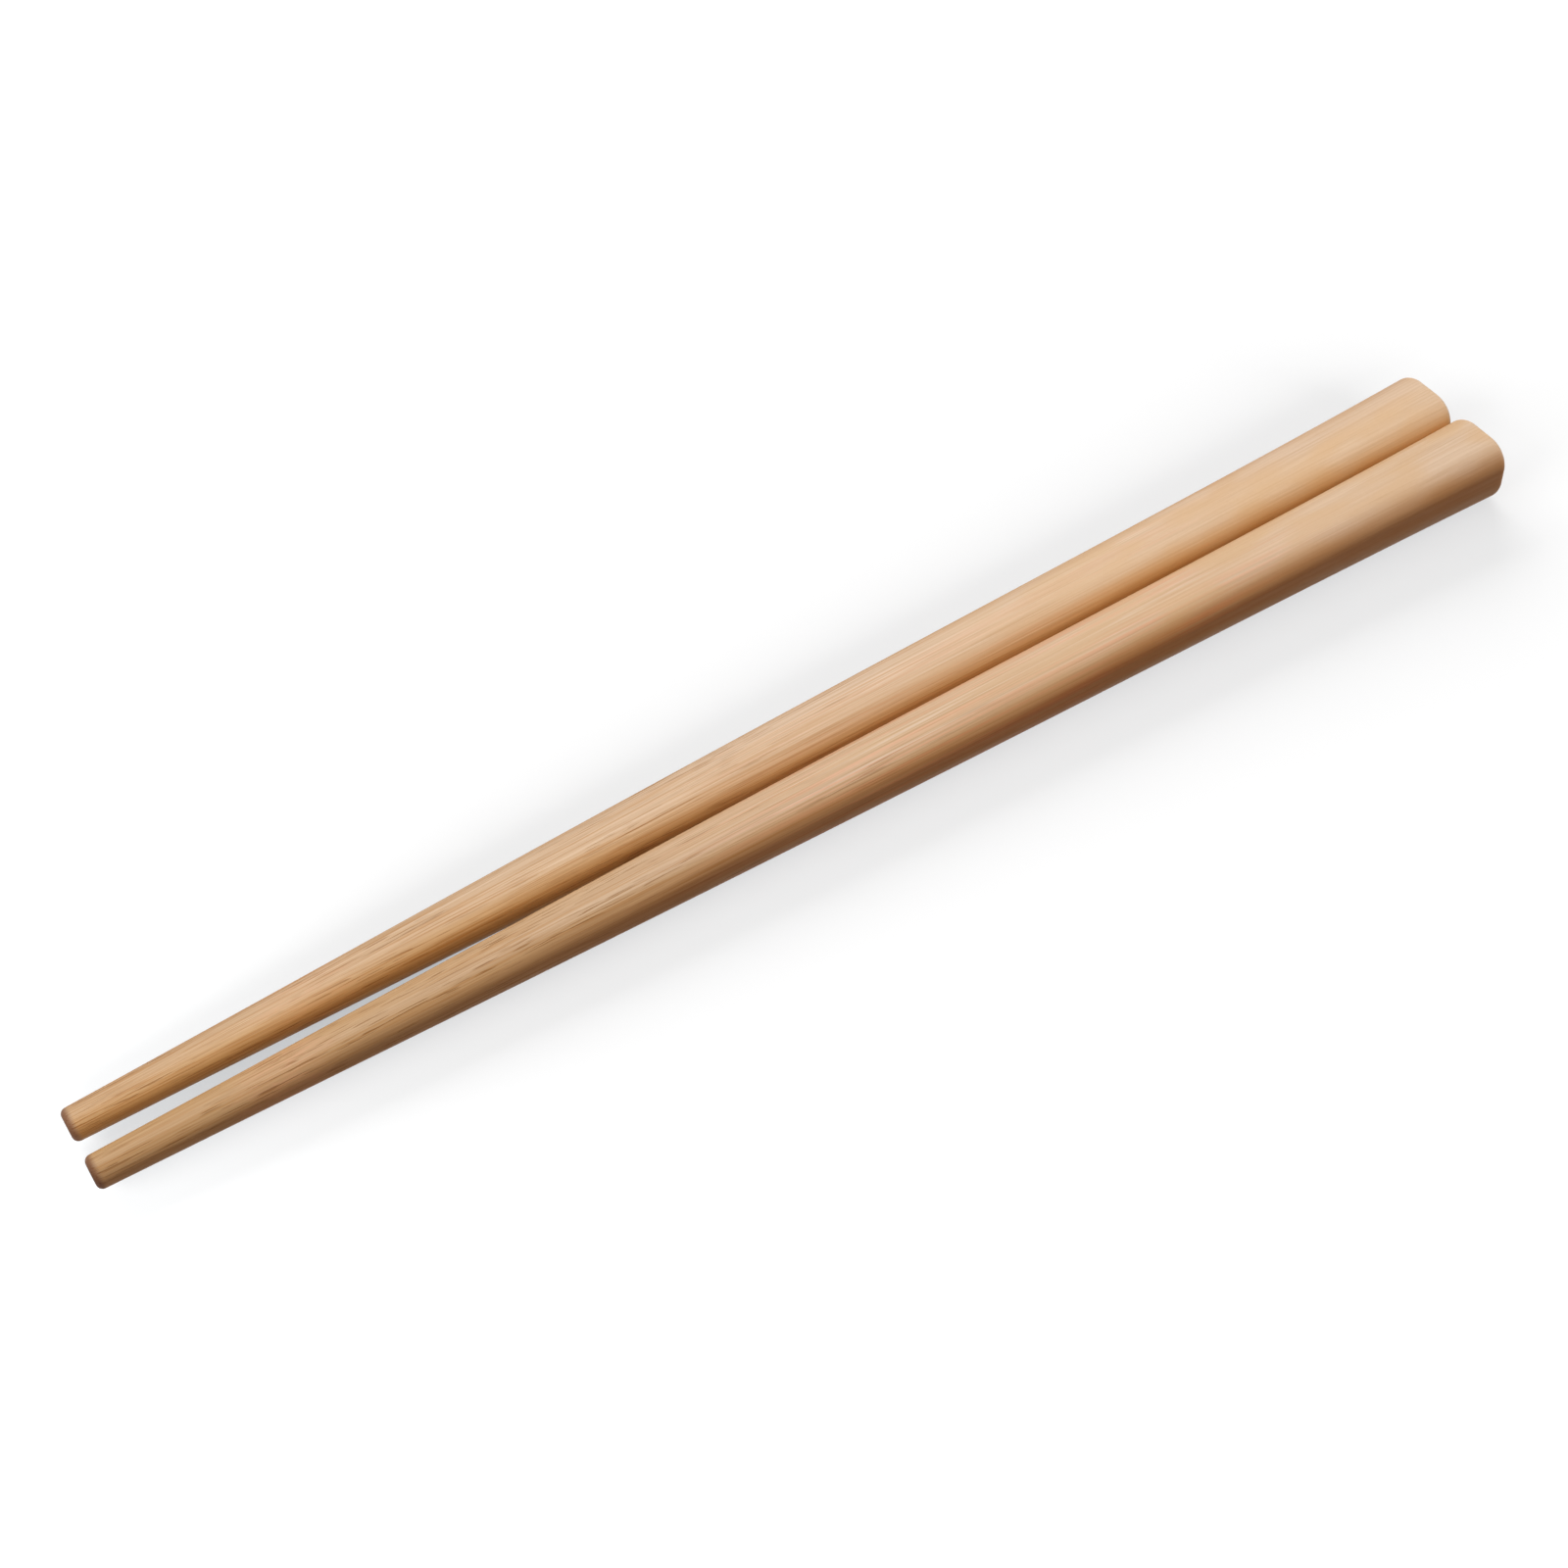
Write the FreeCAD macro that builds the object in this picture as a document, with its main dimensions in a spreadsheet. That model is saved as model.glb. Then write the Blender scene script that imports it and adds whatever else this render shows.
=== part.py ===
import FreeCAD, Part
import math
import os
import Sketcher

# A pair of wooden chopsticks lying side by side on a table, in millimetres.
# +X runs from the thin tips to the thick butts, +Z is up, and the table is z = 0.
# The origin is under the middle of the pair. The near stick is on the -Y side.
# Each stick is one piece of wood: round at the tip, a rounded square at the butt.

# Driving dimensions, each written once. A flat is the straight stretch that is
# left on a side of a section between its two rounded corners.
DRIVING_DIMENSIONS = {
    # lengths along one stick
    "stick_length": 180.0,
    "tip_taper_length": 45.0,
    "grip_length": 45.0,
    # round tip
    "tip_diameter": 3.65,
    "tip_flat": 0.2,
    "tip_edge_radius": 0.7,
    # end of the quick taper, tip_taper_length from the tip
    "taper_width": 5.6,
    "taper_height": 5.5,
    "taper_flat": 0.5,
    # middle of the stick, where the square starts to show
    "middle_width": 7.25,
    "middle_height": 7.0,
    "middle_flat": 0.7,
    # start of the grip, grip_length from the butt
    "grip_width": 8.15,
    "grip_height": 7.7,
    "grip_flat": 1.3,
    # rounded square butt
    "butt_width": 9.5,
    "butt_height": 8.7,
    "butt_flat": 2.0,
    "butt_edge_radius": 1.2,
    # how a stick lies: the thick half is planed flat underneath, the tip is clear
    "rest_flat_depth": 0.1,
    "tip_lift": 0.8,
    # how the pair lies: the angle between the two axes and the gap where they meet
    "toe_in_degrees": 0.92,
    "side_clearance": 0.05,
}

# How far the cut for the flat reaches past the stick on every side.
CUT_MARGIN = 2.0

AT_TAPER = "Sizes.tip_taper_length"
AT_GRIP = "(Sizes.stick_length - Sizes.grip_length)"
AT_MIDDLE = f"({AT_TAPER} + {AT_GRIP}) / 2"
AT_BUTT = "Sizes.stick_length"

TIP_CENTRE = "(Sizes.tip_diameter / 2 + Sizes.tip_lift)"
MIDDLE_CENTRE = "(Sizes.middle_height / 2 - Sizes.rest_flat_depth)"
GRIP_CENTRE = "(Sizes.grip_height / 2 - Sizes.rest_flat_depth)"
BUTT_CENTRE = "(Sizes.butt_height / 2 - Sizes.rest_flat_depth)"
TAPER_SHARE = f"({AT_TAPER}) / ({AT_MIDDLE})"
TAPER_CENTRE = f"{TIP_CENTRE} + ({MIDDLE_CENTRE} - {TIP_CENTRE}) * {TAPER_SHARE}"

# Sections in the order in which they are joined, from butt to tip: name, distance
# from the tip, width, height, flat and the height of the section's centre.
SECTIONS = [
    ("Butt", AT_BUTT, "Sizes.butt_width", "Sizes.butt_height", "Sizes.butt_flat", BUTT_CENTRE),
    ("Grip", AT_GRIP, "Sizes.grip_width", "Sizes.grip_height", "Sizes.grip_flat", GRIP_CENTRE),
    ("Middle", AT_MIDDLE, "Sizes.middle_width", "Sizes.middle_height", "Sizes.middle_flat", MIDDLE_CENTRE),
    ("Taper", AT_TAPER, "Sizes.taper_width", "Sizes.taper_height", "Sizes.taper_flat", TAPER_CENTRE),
    ("Tip", "0", "Sizes.tip_diameter", "Sizes.tip_diameter", "Sizes.tip_flat", TIP_CENTRE),
]


def make_sheet(doc):
    """Put the driving dimensions in a spreadsheet, one named cell each."""
    sheet = doc.addObject("Spreadsheet::Sheet", "Sizes")
    for row, (name, value) in enumerate(DRIVING_DIMENSIONS.items(), start=1):
        sheet.set(f"A{row}", name)
        sheet.set(f"B{row}", str(value))
        sheet.setAlias(f"B{row}", name)
    doc.recompute()
    return sheet


def origin_plane(body, role):
    """Find one of the body's own origin planes by its role."""
    return next(item for item in body.Origin.OriginFeatures if item.Role == role)


def flat_sketch(body, name, role):
    """Start an empty sketch on one of the body's origin planes."""
    sketch = body.newObject("Sketcher::SketchObject", name)
    sketch.AttachmentSupport = [(origin_plane(body, role), "")]
    sketch.MapMode = "FlatFace"
    return sketch


def draw_rounded_rectangle(sketch, width, height, radius):
    """Draw a rounded rectangle about the sketch's origin, its sizes tied to the sheet."""
    side = 5.0
    corner = 2.0
    straight = side - corner
    vector = FreeCAD.Vector
    circle_normal = vector(0, 0, 1)
    lines = []
    arcs = []
    for quarter in range(4):
        turn = FreeCAD.Rotation(circle_normal, 90 * quarter)
        start = turn.multVec(vector(side, -straight, 0))
        end = turn.multVec(vector(side, straight, 0))
        lines.append(sketch.addGeometry(Part.LineSegment(start, end), False))
        centre = turn.multVec(vector(straight, straight, 0))
        circle = Part.Circle(centre, circle_normal, corner)
        first = math.radians(90 * quarter)
        last = math.radians(90 * (quarter + 1))
        arcs.append(sketch.addGeometry(Part.ArcOfCircle(circle, first, last), False))
    right, top, left, bottom = lines
    rules = []
    for quarter in range(4):
        following = lines[(quarter + 1) % 4]
        rules.append(Sketcher.Constraint("Tangent", lines[quarter], 2, arcs[quarter], 1))
        rules.append(Sketcher.Constraint("Tangent", arcs[quarter], 2, following, 1))
    for line in (top, bottom):
        rules.append(Sketcher.Constraint("Horizontal", line))
    for line in (right, left):
        rules.append(Sketcher.Constraint("Vertical", line))
    for arc in arcs[1:]:
        rules.append(Sketcher.Constraint("Equal", arcs[0], arc))
    rules.append(Sketcher.Constraint("Symmetric", right, 1, left, 1, -1, 1))
    sketch.addConstraint(rules)
    sizes = [
        (Sketcher.Constraint("DistanceX", left, 1, right, 1, 2 * side), width),
        (Sketcher.Constraint("DistanceY", bottom, 1, top, 1, 2 * side), height),
        (Sketcher.Constraint("Radius", arcs[0], corner), radius),
    ]
    for rule, expression in sizes:
        index = sketch.addConstraint(rule)
        sketch.setExpression(f"Constraints[{index}]", expression)


def section_sketch(body, section):
    """Draw one cross-section of the stick at its distance from the tip."""
    name, distance, width, height, flat, centre = section
    sketch = flat_sketch(body, f"{body.Name}_{name}", "YZ_Plane")
    sketch.setExpression("AttachmentOffset.Base.y", centre)
    sketch.setExpression("AttachmentOffset.Base.z", distance)
    draw_rounded_rectangle(sketch, width, height, f"(min({width}; {height}) - {flat}) / 2")
    return sketch


def edges_at(shape, distance):
    """Name the edges that lie wholly in the end face at a distance from the tip."""
    names = []
    for number, edge in enumerate(shape.Edges, start=1):
        box = edge.BoundBox
        if max(abs(box.XMin - distance), abs(box.XMax - distance)) < 1e-4:
            names.append(f"Edge{number}")
    return names


def round_end(body, base, name, distance, radius):
    """Round the rim of one end face."""
    fillet = body.newObject("PartDesign::Fillet", f"{body.Name}_{name}")
    fillet.Base = (base, edges_at(base.Shape, distance))
    fillet.setExpression("Radius", radius)
    body.Document.recompute()
    return fillet


def plane_underside(body):
    """Cut away what lies below the table, which leaves the flat that the stick rests on."""
    sketch = flat_sketch(body, f"{body.Name}_FlatOutline", "XY_Plane")
    reach = f"Sizes.stick_length / 2 + {CUT_MARGIN}"
    sketch.setExpression("AttachmentOffset.Base.x", "Sizes.stick_length / 2")
    side_reach = f"(max(Sizes.butt_width; Sizes.grip_width) / 2 + {CUT_MARGIN})"
    draw_rounded_rectangle(sketch, f"2 * ({reach})", f"2 * {side_reach}", f"{CUT_MARGIN}")
    pocket = body.newObject("PartDesign::Pocket", f"{body.Name}_Flat")
    pocket.Profile = sketch
    pocket.Type = "Length"
    pocket.setExpression("Length", f"Sizes.rest_flat_depth + Sizes.tip_diameter + {CUT_MARGIN}")
    body.Document.recompute()
    return pocket


def make_chopstick(doc, label, side):
    """Make one stick. side is -1 for the near stick and +1 for the far one."""
    body = doc.addObject("PartDesign::Body", label)
    body.Label = label
    sketches = [section_sketch(body, section) for section in SECTIONS]
    loft = body.newObject("PartDesign::AdditiveLoft", f"{label}_Blank")
    loft.Profile = sketches[0]
    loft.Sections = sketches[1:]
    loft.Ruled = False
    doc.recompute()
    length = float(doc.Sizes.stick_length)
    tip_rounded = round_end(body, loft, "TipEdge", 0.0, "Sizes.tip_edge_radius")
    round_end(body, tip_rounded, "ButtEdge", length, "Sizes.butt_edge_radius")
    body.Tip = plane_underside(body)
    place_chopstick(body, side)
    return body


def place_chopstick(body, side):
    """Lay a stick beside the other, their axes closing in from the butts to the tips."""
    half_angle = "(Sizes.toe_in_degrees / 2 * 1 deg)"
    touching = [f"{width} - 2 * ({distance}) * sin({half_angle})" for _, distance, width, _, _, _ in SECTIONS]
    tip_spacing = f"(max({'; '.join(touching)}) + Sizes.side_clearance)"
    body.Placement = FreeCAD.Placement(FreeCAD.Vector(), FreeCAD.Rotation(FreeCAD.Vector(0, 0, side), 1.0))
    body.setExpression("Placement.Base.x", "-Sizes.stick_length / 2")
    body.setExpression("Placement.Base.y", f"{side} * {tip_spacing} / 2")
    body.setExpression("Placement.Rotation.Angle", half_angle)


def check(doc, bodies):
    """Stop if any feature failed or a stick isn't one valid solid."""
    for item in doc.Objects:
        if "Invalid" in item.State or "Error" in item.State:
            raise RuntimeError(f"{item.Name} failed: {item.State}")
    for body in bodies:
        shape = body.Shape
        if shape.isNull() or not shape.isValid() or len(shape.Solids) != 1:
            raise RuntimeError(f"{body.Label} is not one valid solid")


doc = FreeCAD.newDocument("Chopsticks")
make_sheet(doc)
chopsticks = [make_chopstick(doc, label, side) for label, side in (("near_chopstick", -1), ("far_chopstick", 1))]
doc.recompute()
check(doc, chopsticks)
os.makedirs("parts", exist_ok=True)
for chopstick in chopsticks:
    chopstick.Shape.exportStep(f"parts/{chopstick.Label}.step")
    box = chopstick.Shape.BoundBox
    print(chopstick.Label, "volume", round(chopstick.Shape.Volume, 2), "box", box)
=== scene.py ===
import math

import bmesh
import bpy
from bpy.props import FloatProperty, FloatVectorProperty, PointerProperty
from mathutils import Matrix, Quaternion, Vector


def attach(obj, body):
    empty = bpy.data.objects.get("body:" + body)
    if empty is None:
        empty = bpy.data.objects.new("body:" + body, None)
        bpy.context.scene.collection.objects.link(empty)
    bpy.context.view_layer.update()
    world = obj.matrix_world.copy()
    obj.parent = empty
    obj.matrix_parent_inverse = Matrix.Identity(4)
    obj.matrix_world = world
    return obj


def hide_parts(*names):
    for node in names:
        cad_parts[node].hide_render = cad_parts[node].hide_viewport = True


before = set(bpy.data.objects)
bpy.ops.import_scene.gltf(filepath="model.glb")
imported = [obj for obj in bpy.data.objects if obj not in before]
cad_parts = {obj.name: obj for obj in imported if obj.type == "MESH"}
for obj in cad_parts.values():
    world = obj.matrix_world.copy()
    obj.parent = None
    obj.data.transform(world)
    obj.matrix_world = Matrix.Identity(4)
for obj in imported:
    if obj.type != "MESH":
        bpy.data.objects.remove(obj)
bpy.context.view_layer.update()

bl_info = {
    "name": "Wooden Chopsticks",
    "version": (1, 0, 0),
    "blender": (4, 5, 0),
    "location": "View3D > Sidebar > Chopsticks",
    "description": "Makes a pair of bamboo chopsticks, their grain and a plain studio",
    "category": "Object",
}

MM = 0.001

# Points round a section, in four equal quarters, steps along a stick, and steps round a rim.
RING_POINTS = 96
LENGTH_STEPS = 120
RIM_SEGMENTS = 8

# Width of the flat band inside the rounded rim of an end, which keeps the shading clean.
FLAT_BAND = 0.1 * MM

# Points this close to the table, in metres, count as lying on it when the underside is cut.
ON_TABLE = 1e-8

# The floor lies this far under the sticks, so that it never shows through their flats.
FLOOR_DROP = 0.02 * MM

# The floor is plain white from this many times the pool's distance on.
WHITE_FROM = 3

# Width of the camera's sensor in millimetres, and the nearest thing that it sees, in metres.
SENSOR_WIDTH = 36.0
NEAREST_SEEN = 0.01

WHITE = (1.0, 1.0, 1.0)

# The lamps, in metres: width, height and where each hangs. All are aimed at the middle of
# the pair.
LAMPS = {
    "key_lamp": (0.25, 0.25, (0.03, 0.085, 0.8)),
    "end_lamp": (0.4, 0.4, (0.7, -0.05, 0.12)),
    "back_lamp": (1.0, 0.55, (0.1, 0.64, 0.26)),
    "front_lamp": (1.0, 0.45, (-0.1, -0.67, 0.26)),
    "tip_lamp": (0.9, 0.9, (-1.2, 0.0, 0.45)),
    "fill_lamp": (0.2, 0.2, (-0.2, -0.25, 0.12)),
}

# The two sticks: name of the piece, the solid that it stands for, its side of the
# pair (-1 near, +1 far) and a number that sets its grain apart from the other's.
STICKS = [
    ("near_stick", "near_chopstick", -1, 3.0),
    ("far_stick", "far_chopstick", 1, 41.0),
]


class StickSizes(bpy.types.PropertyGroup):
    """Sizes of a stick, and how the two lie together. Lists run from tip to butt."""

    length: FloatProperty(
        name="Length",
        description="Length of a stick",
        default=180 * MM,
        unit="LENGTH",
    )
    widths: FloatVectorProperty(
        name="Widths",
        description="Widths of a stick at five even steps from the tip to the butt",
        default=(3.65 * MM, 5.6 * MM, 7.25 * MM, 8.15 * MM, 9.5 * MM),
        size=5,
        unit="LENGTH",
    )
    heights: FloatVectorProperty(
        name="Heights",
        description="Heights of a stick at the same five steps",
        default=(3.65 * MM, 5.5 * MM, 7.0 * MM, 7.7 * MM, 8.7 * MM),
        size=5,
        unit="LENGTH",
    )
    flats: FloatVectorProperty(
        name="Flats",
        description="Straight stretch left between two rounded corners at the same five steps",
        default=(0.2 * MM, 0.5 * MM, 0.7 * MM, 1.3 * MM, 2.0 * MM),
        size=5,
        unit="LENGTH",
    )
    tip_rim: FloatProperty(
        name="Tip Rim",
        description="Radius of the rounded rim of the tip",
        default=0.7 * MM,
        unit="LENGTH",
    )
    butt_rim: FloatProperty(
        name="Butt Rim",
        description="Radius of the rounded rim of the butt",
        default=1.2 * MM,
        unit="LENGTH",
    )
    planed: FloatProperty(
        name="Planed Depth",
        description="Depth planed off underneath, where a stick rests",
        default=0.1 * MM,
        unit="LENGTH",
    )
    tip_lift: FloatProperty(
        name="Tip Lift",
        description="Height of the underside of the tip over the table",
        default=0.8 * MM,
        unit="LENGTH",
    )
    toe_in: FloatProperty(
        name="Toe In",
        description="Angle between the axes of the two sticks",
        default=math.radians(0.92),
        unit="ROTATION",
        subtype="ANGLE",
    )
    gap: FloatProperty(
        name="Gap",
        description="Gap that is left between the sticks where they are closest",
        default=0.05 * MM,
        unit="LENGTH",
    )


class WoodLooks(bpy.types.PropertyGroup):
    """Colours and grain of the bamboo, and the painted shade low on its sides and on the tip's end."""

    pale: FloatVectorProperty(
        name="Pale Wood",
        description="Palest tan of the wood, between the darker bands",
        default=(0.77, 0.57, 0.41),
        size=3,
        min=0.0,
        max=1.0,
        subtype="COLOR",
    )
    deep: FloatVectorProperty(
        name="Deep Wood",
        description="Deeper golden tan of the broad bands",
        default=(0.70, 0.475, 0.29),
        size=3,
        min=0.0,
        max=1.0,
        subtype="COLOR",
    )
    tip_brown: FloatVectorProperty(
        name="Tip Brown",
        description="Browner tan that the tips turn to",
        default=(0.57, 0.355, 0.175),
        size=3,
        min=0.0,
        max=1.0,
        subtype="COLOR",
    )
    fibre: FloatVectorProperty(
        name="Fibre Brown",
        description="Brown of the fine fibres",
        default=(0.42, 0.22, 0.095),
        size=3,
        min=0.0,
        max=1.0,
        subtype="COLOR",
    )
    pore: FloatVectorProperty(
        name="Pore Brown",
        description="Dark brown of the short dashes where pores are cut open",
        default=(0.30, 0.135, 0.04),
        size=3,
        min=0.0,
        max=1.0,
        subtype="COLOR",
    )
    blush: FloatVectorProperty(
        name="Blush",
        description="Pink of the blushed streaks and of the joint in the cane",
        default=(0.80, 0.42, 0.27),
        size=3,
        min=0.0,
        max=1.0,
        subtype="COLOR",
    )
    highlight: FloatVectorProperty(
        name="Light Streaks",
        description="Palest colour, of the thin light streaks along the middle of a stick",
        default=(0.80, 0.64, 0.50),
        size=3,
        min=0.0,
        max=1.0,
        subtype="COLOR",
    )
    amber: FloatVectorProperty(
        name="Amber",
        description="Golden brown of the thin lines between the fibres",
        default=(0.50, 0.25, 0.09),
        size=3,
        min=0.0,
        max=1.0,
        subtype="COLOR",
    )
    # Partly painted shade: the end grain's own darker colour, deepened to stand in for the shade on the
    # tip's end.
    end_grain_and_shade_brown: FloatVectorProperty(
        name="End Grain And Shade Brown",
        description="Reddish brown of the end grain at the tip",
        default=(0.20, 0.075, 0.035),
        size=3,
        min=0.0,
        max=1.0,
        subtype="COLOR",
    )
    # Painted shade: this tint darkens and deepens the colour from the edge between top and side downwards,
    # where the shade falls.
    edge_painted_shade: FloatVectorProperty(
        name="Edge Tint",
        description="What the colour is multiplied by from the edge between top and side downwards",
        default=(1.0, 0.96, 0.84),
        size=3,
        min=0.0,
        max=1.0,
        subtype="COLOR",
    )
    # Painted shade: this tint darkens and deepens the colour low on the side that faces the other stick, in
    # the shade of the groove between them.
    inner_painted_shade: FloatVectorProperty(
        name="Inner Side Painted Shade",
        description="What the colour is multiplied by low on the side that faces the other stick",
        default=(0.90, 0.71, 0.42),
        size=3,
        min=0.0,
        max=1.0,
        subtype="COLOR",
    )
    # Painted shade: this tint darkens and deepens the colour low on the side away from the other stick,
    # where the shade falls.
    outer_painted_shade: FloatVectorProperty(
        name="Outer Side Painted Shade",
        description="What the colour is multiplied by low on the side away from the other stick",
        default=(0.78, 0.56, 0.36),
        size=3,
        min=0.0,
        max=1.0,
        subtype="COLOR",
    )
    streak_width: FloatProperty(
        name="Streak Width",
        description="Width of a fine streak of the grain",
        default=0.26 * MM,
        unit="LENGTH",
    )
    streak_length: FloatProperty(
        name="Streak Length",
        description="Length of a fine streak of the grain",
        default=26 * MM,
        unit="LENGTH",
    )
    relief: FloatProperty(
        name="Relief",
        description="Depth of the cut pores and of the waves that sanding left",
        default=0.02 * MM,
        unit="LENGTH",
    )
    gloss: FloatProperty(
        name="Gloss",
        description="How much the thin oil shines",
        default=0.25,
        min=0.0,
        max=1.0,
        subtype="FACTOR",
    )
    roughness: FloatProperty(
        name="Roughness",
        description="Roughness of the thinly oiled, sanded face",
        default=0.6,
        min=0.0,
        max=1.0,
        subtype="FACTOR",
    )


class StageSetup(bpy.types.PropertyGroup):
    """Floor, light and camera."""

    floor_side: FloatProperty(
        name="Floor Side",
        description="Side of the square floor",
        default=6.0,
        unit="LENGTH",
    )
    floor_grey: FloatProperty(
        name="Floor Grey",
        description="Part of the floor's white that takes light and shadow",
        default=0.5,
        min=0.0,
        max=1.0,
        subtype="FACTOR",
    )
    floor_glow: FloatProperty(
        name="Floor Glow",
        description="Part of the floor's white that is there in the deepest shadow too",
        default=0.462,
        min=0.0,
        max=1.0,
        subtype="FACTOR",
    )
    glow_tint: FloatVectorProperty(
        name="Glow Tint",
        description="Colour of that part, cool enough to make up for the warm sky",
        default=(0.897, 0.957, 1.0),
        size=3,
        min=0.0,
        max=1.0,
        subtype="COLOR",
    )
    pool: FloatProperty(
        name="Pool",
        description="Distance from the pool's middle where the floor starts to turn plain white",
        default=0.08,
        unit="LENGTH",
    )
    # The floor's glow rises with distance from this point: far off it keeps the floor plain white, and
    # since the point lies under the thick half, round the tips it is painted light that lightens their soft
    # shadow.
    pool_middle: FloatVectorProperty(
        name="Pool Middle",
        description="The point of the floor under the middle of the thick half",
        default=(0.045, 0.0, 0.0),
        size=3,
        unit="LENGTH",
    )
    bounce: FloatVectorProperty(
        name="Bounce",
        description="Colour of the light that the floor throws back on the sticks",
        default=(0.225, 0.168, 0.132),
        size=3,
        min=0.0,
        max=1.0,
        subtype="COLOR",
    )
    key_watts: FloatProperty(
        name="Key Lamp",
        description="Power of the soft lamp over the sticks",
        default=5.9,
        unit="POWER",
    )
    key_tint: FloatVectorProperty(
        name="Key Tint",
        description="Colour of the lamp overhead, cool enough to make up for the warm sky",
        default=(0.89, 0.955, 1.0),
        size=3,
        min=0.0,
        max=1.0,
        subtype="COLOR",
    )
    fill_watts: FloatProperty(
        name="Fill Lamp",
        description="Power of the lamp in front that opens the shadow on the far stick",
        default=0.2,
        unit="POWER",
    )
    fill_tint: FloatVectorProperty(
        name="Fill Tint",
        description="Colour of the fill, warm as light that the near stick throws back",
        default=(1.0, 0.85, 0.60),
        size=3,
        min=0.0,
        max=1.0,
        subtype="COLOR",
    )
    end_watts: FloatProperty(
        name="End Lamp",
        description="Power of the lamp beyond the butts that lights their end faces",
        default=1.0,
        unit="POWER",
    )
    back_watts: FloatProperty(
        name="Back Lamp",
        description="Power of the low, wide lamp behind that sets the soft shadow in front of the sticks",
        default=8.03,
        unit="POWER",
    )
    front_watts: FloatProperty(
        name="Front Lamp",
        description="Power of the low, wide lamp in front that sets the soft shadow behind the sticks",
        default=8.29,
        unit="POWER",
    )
    tip_watts: FloatProperty(
        name="Tip Lamp",
        description="Power of the low lamp beyond the tips that sets the soft shadow behind the butts",
        default=12.06,
        unit="POWER",
    )
    sky: FloatVectorProperty(
        name="Sky",
        description="Warm even light from all round",
        default=(0.20, 0.145, 0.105),
        size=3,
        min=0.0,
        max=1.0,
        subtype="COLOR",
    )
    lens: FloatProperty(
        name="Lens",
        description="Focal length of the camera in millimetres on a 36 mm sensor",
        default=56.25,
    )
    camera_place: FloatVectorProperty(
        name="Camera Place",
        description="Where the camera stands",
        default=(-88.42 * MM, -155.01 * MM, 209.29 * MM),
        size=3,
        unit="LENGTH",
    )
    camera_aim: FloatVectorProperty(
        name="Camera Aim",
        description="The point of the table at the middle of the picture",
        default=(-5.21 * MM, 2.37 * MM, 0.0),
        size=3,
        unit="LENGTH",
    )
    camera_roll: FloatProperty(
        name="Camera Roll",
        description="How far the camera is turned about its line of sight",
        default=math.radians(-5.32),
        unit="ROTATION",
        subtype="ANGLE",
    )


# Shape of a stick


def at_share(values, share):
    """Give the value at a share of the length, on the one smooth curve through five even steps."""
    last = len(values) - 1
    total = 0.0
    for own, value in enumerate(values):
        weight = 1.0
        for other in range(len(values)):
            if other != own:
                weight *= (share * last - other) / (own - other)
        total += weight * value
    return total


def section_centres(sizes):
    """Give the heights of the section centres over the table at the five steps."""
    centres = [height / 2 - sizes.planed for height in sizes.heights]
    centres[0] = sizes.heights[0] / 2 + sizes.tip_lift
    centres[1] = (centres[0] + centres[2]) / 2
    return centres


def corner_radii(sizes):
    """Give the corner radii of the sections at the five steps."""
    sides = zip(sizes.widths, sizes.heights, sizes.flats)
    return [(min(width, height) - flat) / 2 for width, height, flat in sides]


def section_ring(bm, sizes, share):
    """Add one rounded rectangle of points at a share of the length and give its edges."""
    width = at_share(sizes.widths, share)
    height = at_share(sizes.heights, share)
    corner = at_share(corner_radii(sizes), share)
    centre = at_share(section_centres(sizes), share)
    half_step = Matrix.Rotation(math.pi / RING_POINTS, 4, "Z")
    ring = bmesh.ops.create_circle(bm, segments=RING_POINTS, radius=1.0, matrix=half_step)["verts"]
    for point in ring:
        across, up, _ = point.co
        side = math.copysign(width / 2 - corner, across) + corner * across
        level = math.copysign(height / 2 - corner, up) + corner * up
        point.co = (share * sizes.length, side, centre + level)
    return [edge for point in ring for edge in point.link_edges if edge.verts[0] == point]


def round_end(bm, ring, radius):
    """Close a ring with an end face, round its rim and keep the middle of the face flat."""
    end_face = bmesh.ops.contextual_create(bm, geom=ring)["faces"][0]
    bmesh.ops.inset_region(bm, faces=[end_face], thickness=radius + FLAT_BAND, use_even_offset=True)
    bmesh.ops.bevel(
        bm,
        geom=ring,
        offset=radius,
        segments=RIM_SEGMENTS,
        profile=0.5,
        affect="EDGES",
        material=-1,
    )


def plane_underside(bm):
    """Cut off what lies below the table, close the cut and keep its edge crisp."""
    whole = bm.verts[:] + bm.edges[:] + bm.faces[:]
    cut = bmesh.ops.bisect_plane(
        bm,
        geom=whole,
        dist=ON_TABLE,
        plane_co=(0, 0, 0),
        plane_no=(0, 0, 1),
        clear_inner=True,
    )
    rim = [item for item in cut["geom_cut"] if isinstance(item, bmesh.types.BMEdge)]
    for edge in rim:
        edge.smooth = False
    bmesh.ops.edgeloop_fill(bm, edges=rim)


def tip_spacing(sizes):
    """Give the distance between the two axes at the tips, from the gap at the closest section."""
    steps = len(sizes.widths) - 1
    closing = 2 * math.sin(sizes.toe_in / 2)
    reach = [width - closing * sizes.length * step / steps for step, width in enumerate(sizes.widths)]
    return max(reach) + sizes.gap


def stick_place(sizes, side):
    """Give the place and the turn of a stick, whose own origin is at its tip."""
    return Vector((-sizes.length / 2, side * tip_spacing(sizes) / 2, 0.0)), side * sizes.toe_in / 2


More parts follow.
